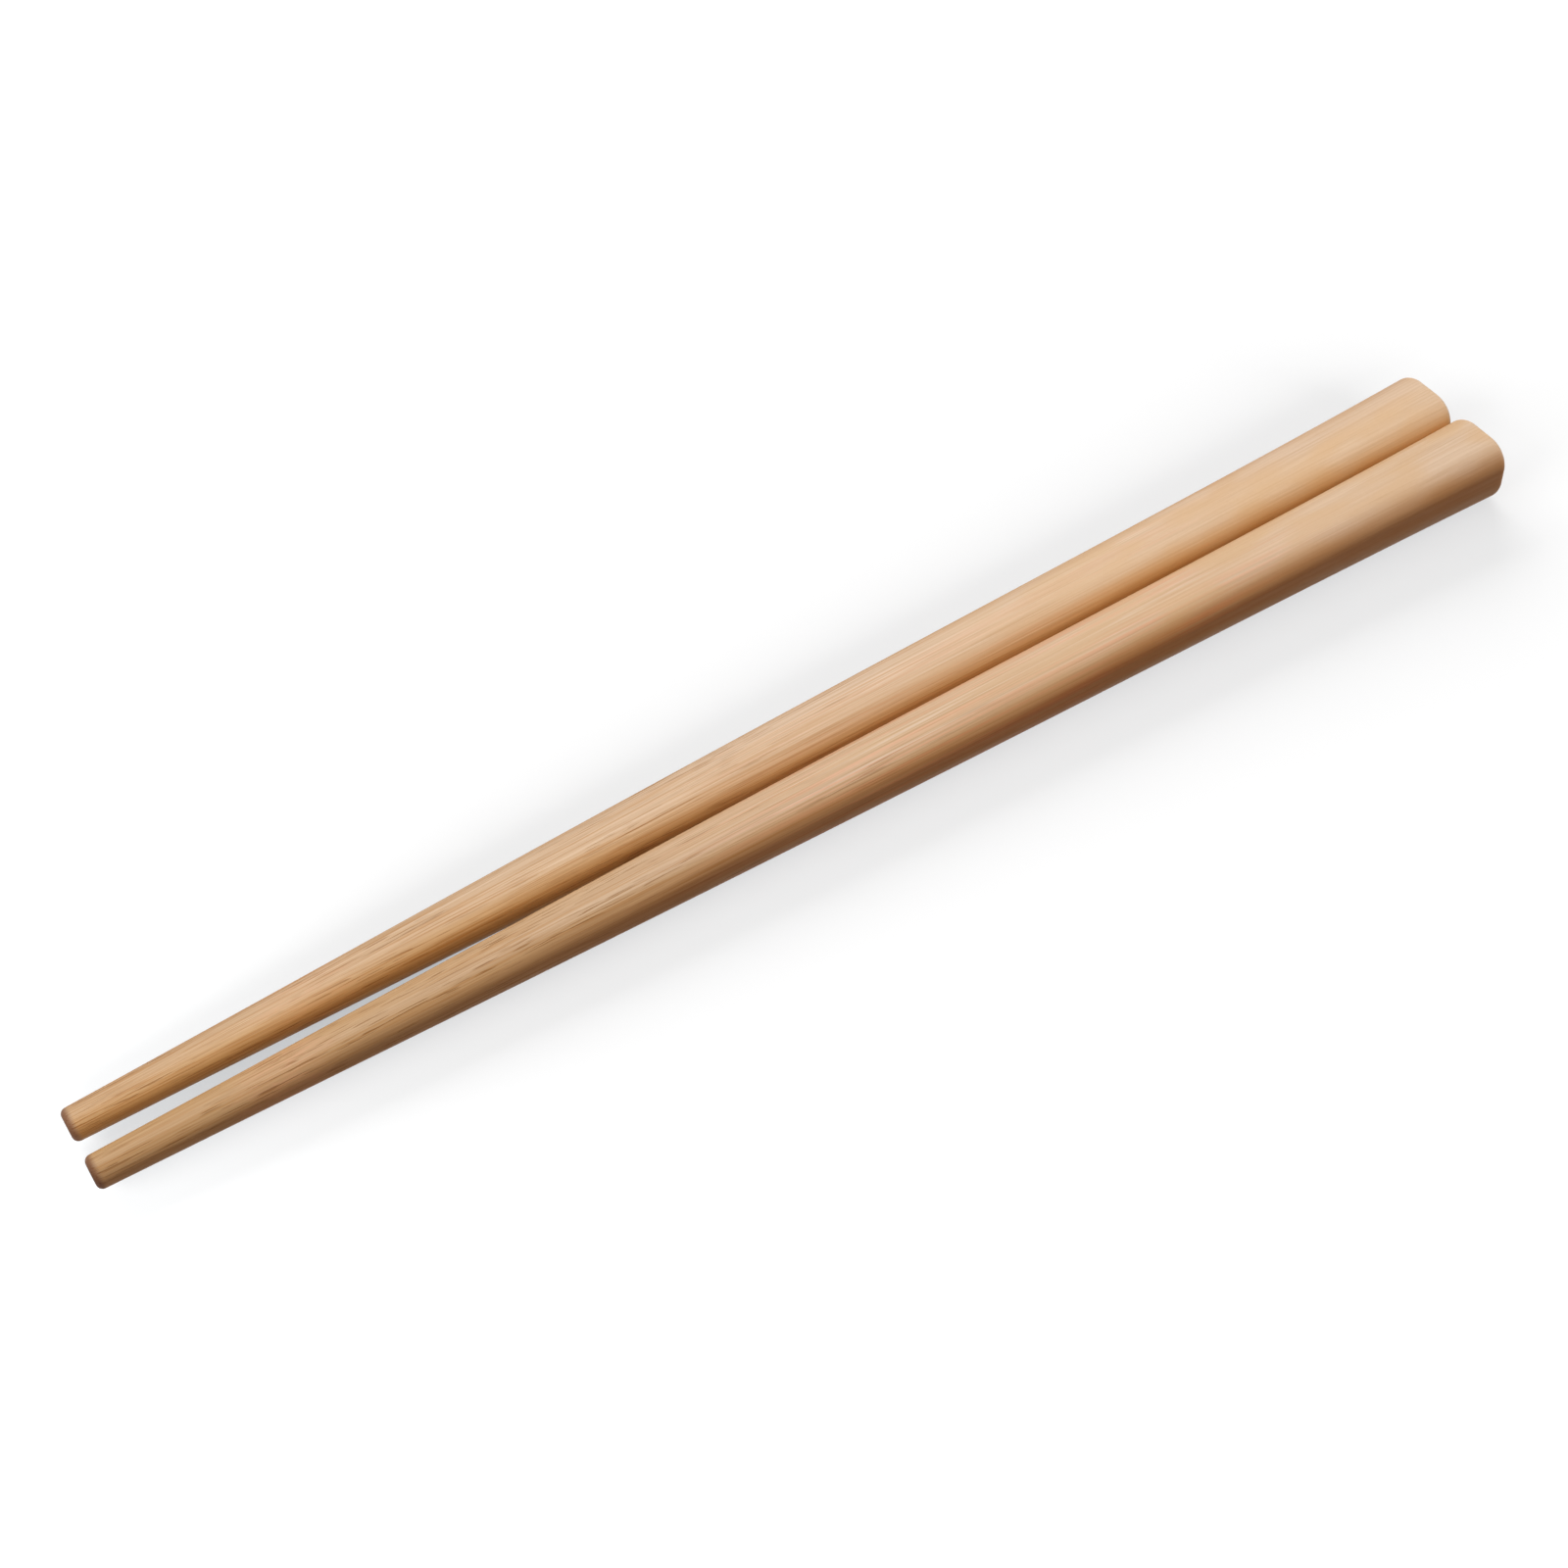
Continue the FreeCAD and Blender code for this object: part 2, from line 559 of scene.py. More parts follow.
def stick_mesh(name, sizes, side):
    """Make one stick, laid in its place on the table."""
    bm = bmesh.new()
    rings = [section_ring(bm, sizes, step / LENGTH_STEPS) for step in range(LENGTH_STEPS + 1)]
    for first, second in zip(rings, rings[1:]):
        bmesh.ops.bridge_loops(bm, edges=first + second)
    round_end(bm, rings[0], sizes.tip_rim)
    round_end(bm, rings[-1], sizes.butt_rim)
    plane_underside(bm)
    bmesh.ops.recalc_face_normals(bm, faces=bm.faces[:])
    for face in bm.faces:
        face.smooth = True
    place, turn = stick_place(sizes, side)
    matrix = Matrix.Translation(place) @ Matrix.Rotation(turn, 4, "Z")
    bmesh.ops.transform(bm, matrix=matrix, verts=bm.verts[:])
    mesh = bpy.data.meshes.new(name)
    bm.to_mesh(mesh)
    bm.free()
    return mesh


class MakeSticks(bpy.types.Operator):
    """Make the two sticks and let them stand for the two solids"""

    bl_idname = "chopsticks.make_sticks"
    bl_label = "Make Sticks"

    def execute(self, context):
        sizes = context.scene.stick_sizes
        for name, node, side, _ in STICKS:
            stick = bpy.data.objects.new(name, stick_mesh(name, sizes, side))
            context.scene.collection.objects.link(stick)
            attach(stick, "root")
            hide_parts(node)
        return {"FINISHED"}


# Node helpers


def feed(tree, target, source):
    """Give a socket its value: a link from another socket, or a plain number or vector."""
    if isinstance(source, bpy.types.NodeSocket):
        tree.links.new(source, target)
    elif source is not None:
        target.default_value = source


def calculate(tree, operation, first, second=None, third=None):
    """Add one sum of up to three values and give its result."""
    node = tree.nodes.new("ShaderNodeMath")
    node.operation = operation
    for socket, source in zip(node.inputs, (first, second, third)):
        feed(tree, socket, source)
    return node.outputs[0]


def calculate_vector(tree, operation, first, second=None):
    """Add one sum of vectors and give its result."""
    node = tree.nodes.new("ShaderNodeVectorMath")
    node.operation = operation
    for socket, source in zip(node.inputs, (first, second)):
        feed(tree, socket, source)
    return node.outputs[0]


def fade(tree, value, start, end, low=0.0, high=1.0):
    """Turn a value smoothly from low to high as it goes from start to end."""
    node = tree.nodes.new("ShaderNodeMapRange")
    node.interpolation_type = "SMOOTHSTEP"
    for label, source in (
        ("Value", value),
        ("From Min", start),
        ("From Max", end),
        ("To Min", low),
        ("To Max", high),
    ):
        feed(tree, node.inputs[label], source)
    return node.outputs["Result"]


def blend_colour(tree, share, first, second, how="MIX"):
    """Blend the second colour over the first by a share."""
    node = tree.nodes.new("ShaderNodeMix")
    node.data_type = "RGBA"
    node.blend_type = how
    feed(tree, node.inputs["Factor"], share)
    for label, source in (("A", first), ("B", second)):
        socket = next(item for item in node.inputs if item.name == label and item.type == "RGBA")
        if not isinstance(source, bpy.types.NodeSocket):
            source = (*source, 1.0)
        feed(tree, socket, source)
    return next(item for item in node.outputs if item.type == "RGBA")


def noise(tree, position, detail=2.0, roughness=0.5, distortion=0.0):
    """Add a cloud pattern of unit size and give its node."""
    node = tree.nodes.new("ShaderNodeTexNoise")
    feed(tree, node.inputs["Vector"], position)
    feed(tree, node.inputs["Scale"], 1.0)
    feed(tree, node.inputs["Detail"], detail)
    feed(tree, node.inputs["Roughness"], roughness)
    feed(tree, node.inputs["Distortion"], distortion)
    return node


def part_of(tree, position, axis):
    """Give one of a position's three parts."""
    parts = tree.nodes.new("ShaderNodeSeparateXYZ")
    feed(tree, parts.inputs[0], position)
    return parts.outputs[axis]


def stretched(tree, position, length, width, seed):
    """Stretch a position along the grain, so that a pattern of unit size gets that length and width."""
    size = tree.nodes.new("ShaderNodeCombineXYZ")
    for socket, source in zip(size.inputs, (length, width, width)):
        feed(tree, socket, source)
    divided = calculate_vector(tree, "DIVIDE", position, size.outputs[0])
    shift = tree.nodes.new("ShaderNodeCombineXYZ")
    for socket in shift.inputs:
        feed(tree, socket, seed)
    return calculate_vector(tree, "ADD", divided, shift.outputs[0])


def new_group(name, inputs, outputs):
    """Start a shader node group and give it with its input and output nodes."""
    group = bpy.data.node_groups.new(name, "ShaderNodeTree")
    for label, kind, value in inputs:
        socket = group.interface.new_socket(name=label, in_out="INPUT", socket_type=kind)
        if value is not None:
            socket.default_value = value
    for label in outputs:
        group.interface.new_socket(name=label, in_out="OUTPUT", socket_type="NodeSocketFloat")
    given = group.nodes.new("NodeGroupInput").outputs
    result = group.nodes.new("NodeGroupOutput").inputs
    return group, given, result


def place_group(tree, group, **values):
    """Place a group in a material with its own values and give its outputs."""
    node = tree.nodes.new("ShaderNodeGroup")
    node.node_tree = group
    for label, source in values.items():
        feed(tree, node.inputs[label], source)
    return node.outputs


# Effects that both sticks share. Positions are in millimetres from the tip.


def straight_grain_group():
    """Fine parallel streaks that run along the stick and wander a little."""
    group, given, result = new_group(
        "Straight Grain",
        [
            ("Position", "NodeSocketVector", None),
            ("Length", "NodeSocketFloat", 26.0),
            ("Width", "NodeSocketFloat", 0.32),
            ("Wander", "NodeSocketFloat", 0.5),
            ("Level", "NodeSocketFloat", 0.5),
            ("Contrast", "NodeSocketFloat", 0.2),
            ("Seed", "NodeSocketFloat", 0.0),
        ],
        ["Streaks"],
    )
    wander_length = 50.0
    wander_width = 6.0
    noise_middle = (0.5, 0.5, 0.5)
    not_along = (0.0, 1.0, 1.0)
    slow = noise(group, stretched(group, given["Position"], wander_length, wander_width, given["Seed"]))
    centred = calculate_vector(group, "SUBTRACT", slow.outputs["Color"], noise_middle)
    sideways = calculate_vector(group, "MULTIPLY", centred, not_along)
    amount = group.nodes.new("ShaderNodeVectorMath")
    amount.operation = "SCALE"
    feed(group, amount.inputs[0], sideways)
    feed(group, amount.inputs["Scale"], given["Wander"])
    moved = calculate_vector(group, "ADD", given["Position"], amount.outputs[0])
    drawn_out = stretched(group, moved, given["Length"], given["Width"], given["Seed"])
    fine = noise(group, drawn_out, detail=1.5)
    low = calculate(group, "SUBTRACT", given["Level"], given["Contrast"])
    high = calculate(group, "ADD", given["Level"], given["Contrast"])
    feed(group, result["Streaks"], fade(group, fine.outputs["Fac"], low, high))
    return group


def pore_group():
    """Short dark dashes along the grain, where pores are cut open."""
    group, given, result = new_group(
        "Pore Dashes",
        [
            ("Position", "NodeSocketVector", None),
            ("Length", "NodeSocketFloat", 6.0),
            ("Width", "NodeSocketFloat", 0.16),
            ("Spacing", "NodeSocketFloat", 0.6),
            ("Share", "NodeSocketFloat", 0.5),
            ("Seed", "NodeSocketFloat", 0.0),
        ],
        ["Dashes"],
    )
    narrowest = 0.3
    core_share = 0.4
    stretch = calculate(group, "DIVIDE", given["Length"], given["Width"])
    cell_length = calculate(group, "MULTIPLY", given["Spacing"], stretch)
    cells = group.nodes.new("ShaderNodeTexVoronoi")
    cells.feature = "F1"
    feed(group, cells.inputs["Scale"], 1.0)
    place = stretched(group, given["Position"], cell_length, given["Spacing"], given["Seed"])
    feed(group, cells.inputs["Vector"], place)
    chance = group.nodes.new("ShaderNodeSeparateColor")
    feed(group, chance.inputs[0], cells.outputs["Color"])
    chosen = calculate(group, "LESS_THAN", chance.outputs[0], given["Share"])
    share_of_width = calculate(group, "MULTIPLY_ADD", chance.outputs[1], 1 - narrowest, narrowest)
    half_width = calculate(group, "DIVIDE", given["Width"], 2.0)
    radius = calculate(group, "DIVIDE", half_width, given["Spacing"])
    own_radius = calculate(group, "MULTIPLY", radius, share_of_width)
    core = calculate(group, "MULTIPLY", own_radius, core_share)
    dash = fade(group, cells.outputs["Distance"], own_radius, core)
    feed(group, result["Dashes"], calculate(group, "MULTIPLY", dash, chosen))
    return group


def joint_group():
    """The band where a joint of the cane was: mottled, with fibres that swirl across the grain."""
    group, given, result = new_group(
        "Cane Joint",
        [
            ("Position", "NodeSocketVector", None),
            ("Place", "NodeSocketFloat", 22.0),
            ("Reach", "NodeSocketFloat", 6.5),
            ("Seed", "NodeSocketFloat", 0.0),
        ],
        ["Band", "Swirl"],
    )
    ragged_length = 40.0
    ragged_width = 0.8
    ragged_by = 9.0
    full_share = 0.25
    edge = noise(group, stretched(group, given["Position"], ragged_length, ragged_width, given["Seed"]))
    offset = calculate(group, "MULTIPLY_ADD", edge.outputs["Fac"], ragged_by, -ragged_by / 2)
    along = calculate(group, "SUBTRACT", part_of(group, given["Position"], "X"), given["Place"])
    apart = calculate(group, "ABSOLUTE", calculate(group, "ADD", along, offset))
    full = calculate(group, "MULTIPLY", given["Reach"], full_share)
    feed(group, result["Band"], fade(group, apart, given["Reach"], full))
    swirl_length = 3.4
    swirl_width = 0.5
    swirl_starts = 0.44
    swirl_full = 0.60
    curled = stretched(group, given["Position"], swirl_length, swirl_width, given["Seed"])
    curl = noise(group, curled, detail=3.0, roughness=0.6, distortion=1.0)
    feed(group, result["Swirl"], fade(group, curl.outputs["Fac"], swirl_starts, swirl_full))
    return group


def end_shade_group():
    """Darker end grain at both ends, and at the tip also painted shade on the end and its rim, which face
    away from the light.
    """
    group, given, result = new_group(
        "End Shade",
        [
            ("Position", "NodeSocketVector", None),
            ("Length", "NodeSocketFloat", 180.0),
            ("Tip Reach", "NodeSocketFloat", 1.1),
            ("Butt Reach", "NodeSocketFloat", 0.9),
        ],
        ["Tip", "Butt"],
    )
    full_share = 0.3
    along = part_of(group, given["Position"], "X")
    to_butt = calculate(group, "SUBTRACT", given["Length"], along)
    for end, distance in (("Tip", along), ("Butt", to_butt)):
        reach = given[f"{end} Reach"]
        full = calculate(group, "MULTIPLY", reach, full_share)
        feed(group, result[end], fade(group, distance, reach, full))
    return group


# The stick as a plain taper, in millimetres, for the patterns that follow it: height of
# its top and half its height at the tip, what they gain on each millimetre towards the
# butt, and half the height in the middle.
TIP_TOP = 4.6
TOP_RISE = 0.0222
TIP_HALF = 1.9
HALF_RISE = 0.0136
MIDDLE_HALF = 3.1


def painted_shade_depth_group():
    """How far down its side a point is, from 0 on top to 1 low on the side, and less underneath; it masks
    the painted shade on the sides.
    """
    group, given, result = new_group(
        "Painted Shade Depth",
        [
            ("Position", "NodeSocketVector", None),
            ("Starts", "NodeSocketFloat", 0.0),
            ("Ends", "NodeSocketFloat", 0.6),
        ],
        ["Low"],
    )
    side_depth = 1.0
    underside_depth = 1.5
    left_underneath = 0.35
    along = part_of(group, given["Position"], "X")
    half = calculate(group, "MULTIPLY_ADD", along, HALF_RISE, TIP_HALF)
    top = calculate(group, "MULTIPLY_ADD", along, TOP_RISE, TIP_TOP)
    down = calculate(group, "SUBTRACT", top, part_of(group, given["Position"], "Z"))
    depth = calculate(group, "DIVIDE", down, half)
    underneath = fade(group, depth, side_depth, underside_depth, 1.0, left_underneath)
    low = calculate(group, "MULTIPLY", fade(group, depth, given["Starts"], given["Ends"]), underneath)
    feed(group, result["Low"], low)
    return group


# Layers of the grain: length and width of the streaks in millimetres, how far they wander
# to the side, how sharply they stand out, and a seed that sets each layer apart.
BROAD_BANDS = {"Length": 90.0, "Width": 2.4, "Wander": 0.0, "Contrast": 0.2, "Seed": 0.0}
FINE_STREAKS = {"Wander": 0.3, "Contrast": 0.22, "Seed": 5.0}
HAIR = {"Length": 12.0, "Width": 0.13, "Wander": 0.3, "Contrast": 0.26, "Seed": 9.0}
PINK_STREAKS = {"Length": 50.0, "Width": 0.4, "Wander": 0.3, "Level": 0.56, "Contrast": 0.1, "Seed": 17.0}
PALE_STREAKS = {"Length": 40.0, "Width": 0.22, "Wander": 0.2, "Level": 0.62, "Contrast": 0.07, "Seed": 19.0}
DARK_LINES = {"Length": 16.0, "Width": 0.15, "Wander": 0.2, "Level": 0.61, "Contrast": 0.03, "Seed": 27.0}
AMBER_LINES = {"Length": 26.0, "Width": 0.17, "Wander": 0.2, "Level": 0.57, "Contrast": 0.05, "Seed": 33.0}
CLUSTERS = {"Length": 30.0, "Width": 1.8, "Wander": 0.0, "Level": 0.5, "Contrast": 0.12, "Seed": 37.0}
BLOTCHES = {"Length": 9.0, "Width": 2.6, "Wander": 1.0, "Contrast": 0.15, "Seed": 41.0}
SPECKLE = {"Length": 0.5, "Width": 0.2, "Wander": 0.0, "Contrast": 0.3, "Seed": 43.0}

# Cut pores: length and width of a dash, how far apart they lie across the grain, the share
# of the places that have one, and a seed.
DASHES = {"Length": 10.0, "Width": 0.17, "Spacing": 0.36, "Share": 0.5, "Seed": 31.0}
END_DOTS = {"Length": 12.0, "Width": 0.34, "Spacing": 0.62, "Share": 0.9, "Seed": 53.0}
JOINT_DASHES = {"Length": 2.2, "Width": 0.22, "Spacing": 0.4, "Share": 0.5, "Seed": 29.0}

# Seeds of the joint and of the waves that sanding left, and the waves' length and width.
JOINT_SEED = 23.0
WAVE_SEED = 47.0
WAVE_LENGTH = 9.0
WAVE_WIDTH = 1.8

# How a share changes along a stick: the distances from the tip in millimetres where the
# change starts and ends, and the share at each of the two.
TIP_BROWNING = (95.0, 5.0, 0.0, 0.65)
FINE_SHOW = (150.0, 60.0, 0.2, 0.36)
HAIR_SHOW = (150.0, 60.0, 0.1, 0.2)
BLOTCHES_SHOW = (90.0, 150.0, 0.1, 0.9)
AMBER_SHOW = (140.0, 50.0, 0.12, 0.56)
MARKS_SHOW = (120.0, 60.0, 0.08, 0.72)
ONLY_TIP = (90.0, 50.0, 0.0, 1.0)
ALL_BUT_BUTT = (155.0, 130.0, 0.0, 1.0)

# The same two distances for the stick's own paleness and for its painted shade low on the sides, and how
# pale both sticks are towards the butt.
PALENESS_CHANGES = (120.0, 172.0)
PAINTED_SHADE_CHANGES = (5.0, 125.0)
BUTT_PALENESS = 0.45

# The middle part: where it starts and ends, and how softly.
MIDDLE_PART = (90.0, 130.0, 30.0)

# How strongly the layers show that are the same all along a stick or have a part of their own.
PALE_STREAKS_SHOW = 0.5
MOTTLE_SHOWS = 0.1
SWIRL_SHOWS = 0.3
JOINT_DASHES_SHOW = 0.5
SPECKLE_SHOWS = 0.05
TIP_END_SHOWS = 0.8
BUTT_END_SHOWS = 0.12
END_DOTS_SHOW = 0.4

# Share of the pores and dark lines that is left outside their clusters.
MARKS_OUTSIDE = 0.25

# Where the painted shade low on the sides starts and is full on the way down a side, in half heights below
# the top, and how far to both sides of its middle a stick's outer and inner painted shade blend, in
# millimetres.
EDGE_SHADE_REACH = {"Starts": -0.15, "Ends": 0.25}
OUTER_SHADE_REACH = {"Starts": -0.1, "Ends": 0.5}
INNER_SHADE_REACH = {"Starts": -0.2, "Ends": 0.7}
SHADE_SIDES_BLEND = 1.0

# How much the roughness swings with the fine streaks, and what the dark marks add to it.
STREAK_ROUGHNESS = 0.12
MARK_ROUGHNESS = 0.2

# Heights of the sanding waves, the streaks, the hair and the dark marks, in parts of the relief.
WAVES_RISE = 2.2
FINE_RISES = -0.22
HAIR_RISES = -0.08
MARKS_RISE = -1.0

# What sets the near stick (-1) apart from the far one (+1): how far from its tip the cane had a joint and
# how strongly that shows, how pink its middle is, how pale it is, and how much of the painted shade low on
# its sides is there at the tip too.
OWN_LOOKS = {
    -1: {"joint_place": 21.0, "joint_strength": 1.0, "blush": 0.6, "paleness": 0.0, "painted_shade_at_tip": 0.15},
    1: {"joint_place": 27.0, "joint_strength": 0.55, "blush": 0.2, "paleness": 0.45, "painted_shade_at_tip": 0.85},
}


def stick_position(tree, sizes, side):
    """Give a position in a stick's own millimetres: from the tip, across, and up from the table."""
    place, turn = stick_place(sizes, side)
    coordinates = tree.nodes.new("ShaderNodeTexCoord")
    mapping = tree.nodes.new("ShaderNodeMapping")
    mapping.vector_type = "TEXTURE"
    feed(tree, mapping.inputs["Vector"], coordinates.outputs["Object"])
    feed(tree, mapping.inputs["Location"], place)
    feed(tree, mapping.inputs["Rotation"], (0.0, 0.0, turn))
    feed(tree, mapping.inputs["Scale"], (MM, MM, MM))
    return mapping.outputs["Vector"]


def along_taper(tree, position):
    """Bend a position so that lines which run straight in it follow the stick's taper."""
    across = part_of(tree, position, "Y")
    up = part_of(tree, position, "Z")
    along = part_of(tree, position, "X")
    half = calculate(tree, "MULTIPLY_ADD", along, HALF_RISE, TIP_HALF)
    top = calculate(tree, "MULTIPLY_ADD", along, TOP_RISE, TIP_TOP)
    level = calculate(tree, "ADD", calculate(tree, "SUBTRACT", up, top), half)
    bent = tree.nodes.new("ShaderNodeCombineXYZ")
    feed(tree, bent.inputs["X"], along)
    for axis, value in (("Y", across), ("Z", level)):
        share = calculate(tree, "DIVIDE", value, half)
        feed(tree, bent.inputs[axis], calculate(tree, "MULTIPLY", share, MIDDLE_HALF))
    return bent.outputs[0]


def window(tree, along, start, end, soft):
    """Give 1 between two distances from the tip, fading out over a soft stretch at both."""
    rise = fade(tree, along, start - soft, start)
    fall = fade(tree, along, end + soft, end)
    return calculate(tree, "MULTIPLY", rise, fall)


def product(tree, *shares):
    """Multiply shares with each other."""
    total = shares[0]
    for share in shares[1:]:
        total = calculate(tree, "MULTIPLY", total, share)
    return total


def bamboo(name, looks, sizes, side, seed, groups):
    """Make the bamboo of one stick."""
    material = bpy.data.materials.new(name)
    material.use_nodes = True
    tree = material.node_tree
    shader = tree.nodes["Principled BSDF"]
    own = OWN_LOOKS[side]
    position = stick_position(tree, sizes, side)
    tapered = along_taper(tree, position)
    along = part_of(tree, position, "X")

    def pattern(group, layer, where):
        """Lay one layer of a group's pattern with the stick's own seed."""
        own_layer = {**layer, "Seed": seed + layer["Seed"]}
        return place_group(tree, groups[group], Position=where, **own_layer)

    def streaks(layer, where=tapered):
        """Lay one layer of streaks."""
        return pattern("grain", layer, where)["Streaks"]

    def dashes(layer):
        """Lay one layer of cut pores."""
        return pattern("pores", layer, position)["Dashes"]

    def change(start, end, at_start, at_end):
        """Change a share smoothly between two distances from the tip."""
        return fade(tree, along, start, end, at_start, at_end)

    def lay(under, over, *shares):
        """Blend a colour over another by a product of shares."""
        return blend_colour(tree, product(tree, *shares), under, over)

    fine_size = {"Length": looks.streak_length / MM, "Width": looks.streak_width / MM}
    fine = streaks({**FINE_STREAKS, **fine_size})
    hair = streaks(HAIR)

    colour = lay(looks.pale, looks.deep, streaks(BROAD_BANDS))
    colour = lay(colour, looks.tip_brown, change(*TIP_BROWNING))
    colour = lay(colour, looks.highlight, change(*PALENESS_CHANGES, own["paleness"], BUTT_PALENESS))
    colour = lay(colour, looks.fibre, fine, change(*FINE_SHOW))
    colour = lay(colour, looks.fibre, hair, change(*HAIR_SHOW))

    middle = window(tree, along, *MIDDLE_PART)
    colour = lay(colour, looks.blush, streaks(PINK_STREAKS), middle, own["blush"])
    colour = lay(colour, looks.highlight, streaks(PALE_STREAKS), middle, PALE_STREAKS_SHOW)

    joint_layer = {"Place": own["joint_place"], "Seed": JOINT_SEED}
    joint = pattern("joint", joint_layer, position)
    mottle = calculate(tree, "MULTIPLY_ADD", joint["Swirl"], SWIRL_SHOWS, MOTTLE_SHOWS)
    colour = lay(colour, looks.blush, mottle, joint["Band"], own["joint_strength"])
    dashes_show = JOINT_DASHES_SHOW * own["joint_strength"]
    colour = lay(colour, looks.fibre, dashes(JOINT_DASHES), joint["Band"], dashes_show)

    colour = lay(colour, looks.deep, streaks(BLOTCHES), change(*BLOTCHES_SHOW))
    colour = lay(colour, looks.fibre, streaks(SPECKLE), SPECKLE_SHOWS)

    clustered = streaks(CLUSTERS, position)
    clusters = calculate(tree, "MULTIPLY_ADD", clustered, 1 - MARKS_OUTSIDE, MARKS_OUTSIDE)
    colour = lay(colour, looks.amber, streaks(AMBER_LINES), change(*AMBER_SHOW))
    dark = calculate(tree, "MAXIMUM", streaks(DARK_LINES, position), dashes(DASHES))
    marks = product(tree, dark, clusters, change(*MARKS_SHOW))
    colour = lay(colour, looks.pore, marks)

    ends = place_group(tree, groups["ends"], Position=position, Length=sizes.length / MM)
    # Partly painted shade: the tip's end and rim turn dark reddish brown, as end grain and as the shade on
    # the end that faces away from the light.
    colour = lay(colour, looks.end_grain_and_shade_brown, ends["Tip"], TIP_END_SHOWS)
    colour = lay(colour, looks.fibre, ends["Butt"], BUTT_END_SHOWS)
    colour = lay(colour, looks.fibre, dashes(END_DOTS), ends["Butt"], END_DOTS_SHOW)

    # Painted shade: away from the ends, the colour is darkened and deepened low on the sides, towards the
    # edge between top and side and in the groove towards the other stick, where shade falls.
    off_ends = calculate(tree, "SUBTRACT", 1.0, calculate(tree, "MAXIMUM", ends["Tip"], ends["Butt"]))
    painted_shade_along = change(*PAINTED_SHADE_CHANGES, own["painted_shade_at_tip"], 1.0)
    outwards = calculate(tree, "MULTIPLY", part_of(tree, position, "Y"), side)
    outer = fade(tree, outwards, -SHADE_SIDES_BLEND, SHADE_SIDES_BLEND)
    inner = fade(tree, outwards, SHADE_SIDES_BLEND, -SHADE_SIDES_BLEND)
    painted_shades = [
        (looks.edge_painted_shade, outer, EDGE_SHADE_REACH, change(*ALL_BUT_BUTT)),
        (looks.edge_painted_shade, inner, EDGE_SHADE_REACH, change(*ONLY_TIP)),
        (looks.outer_painted_shade, outer, OUTER_SHADE_REACH, painted_shade_along),
        (looks.inner_painted_shade, inner, INNER_SHADE_REACH, painted_shade_along),
    ]
    for tint, chosen, reach, lengthwise in painted_shades:
        low = place_group(tree, groups["low"], Position=position, **reach)["Low"]
        share = product(tree, low, chosen, off_ends, lengthwise)
        colour = blend_colour(tree, share, colour, tint, "MULTIPLY")
    feed(tree, shader.inputs["Base Color"], colour)

    feed(tree, shader.inputs["Specular IOR Level"], looks.gloss)
    smoothest = looks.roughness - STREAK_ROUGHNESS / 2
    rougher = calculate(tree, "MULTIPLY_ADD", fine, STREAK_ROUGHNESS, smoothest)
    roughness = calculate(tree, "MULTIPLY_ADD", marks, MARK_ROUGHNESS, rougher)
    feed(tree, shader.inputs["Roughness"], roughness)

    waves = noise(tree, stretched(tree, position, WAVE_LENGTH, WAVE_WIDTH, seed + WAVE_SEED))
    height = calculate(tree, "MULTIPLY", waves.outputs["Fac"], WAVES_RISE)
    for layer, rise in ((fine, FINE_RISES), (hair, HAIR_RISES), (marks, MARKS_RISE)):
        height = calculate(tree, "MULTIPLY_ADD", layer, rise, height)
    bump = tree.nodes.new("ShaderNodeBump")
    feed(tree, bump.inputs["Height"], height)
    feed(tree, bump.inputs["Strength"], 1.0)
    feed(tree, bump.inputs["Distance"], looks.relief)
    feed(tree, shader.inputs["Normal"], bump.outputs["Normal"])
    return material


class FinishWood(bpy.types.Operator):
    """Give each stick its bamboo, cut from its own part of the cane"""

    bl_idname = "chopsticks.finish_wood"
    bl_label = "Finish Wood"

    def execute(self, context):
        scene = context.scene
        groups = {
            "grain": straight_grain_group(),
            "pores": pore_group(),
            "joint": joint_group(),
            "ends": end_shade_group(),
            "low": painted_shade_depth_group(),
        }
        for name, _, side, seed in STICKS:
            material = bamboo(f"{name}_bamboo", scene.wood_looks, scene.stick_sizes, side, seed, groups)
            bpy.data.objects[name].data.materials.append(material)
        return {"FINISHED"}


# Stage


def seen_directly(tree):
    """Give 1 to rays from the camera, also by way of a gloss or through glass."""
    path = tree.nodes.new("ShaderNodeLightPath")
    gloss = calculate(tree, "MAXIMUM", path.outputs["Is Camera Ray"], path.outputs["Is Glossy Ray"])
    return calculate(tree, "MAXIMUM", gloss, path.outputs["Is Transmission Ray"])


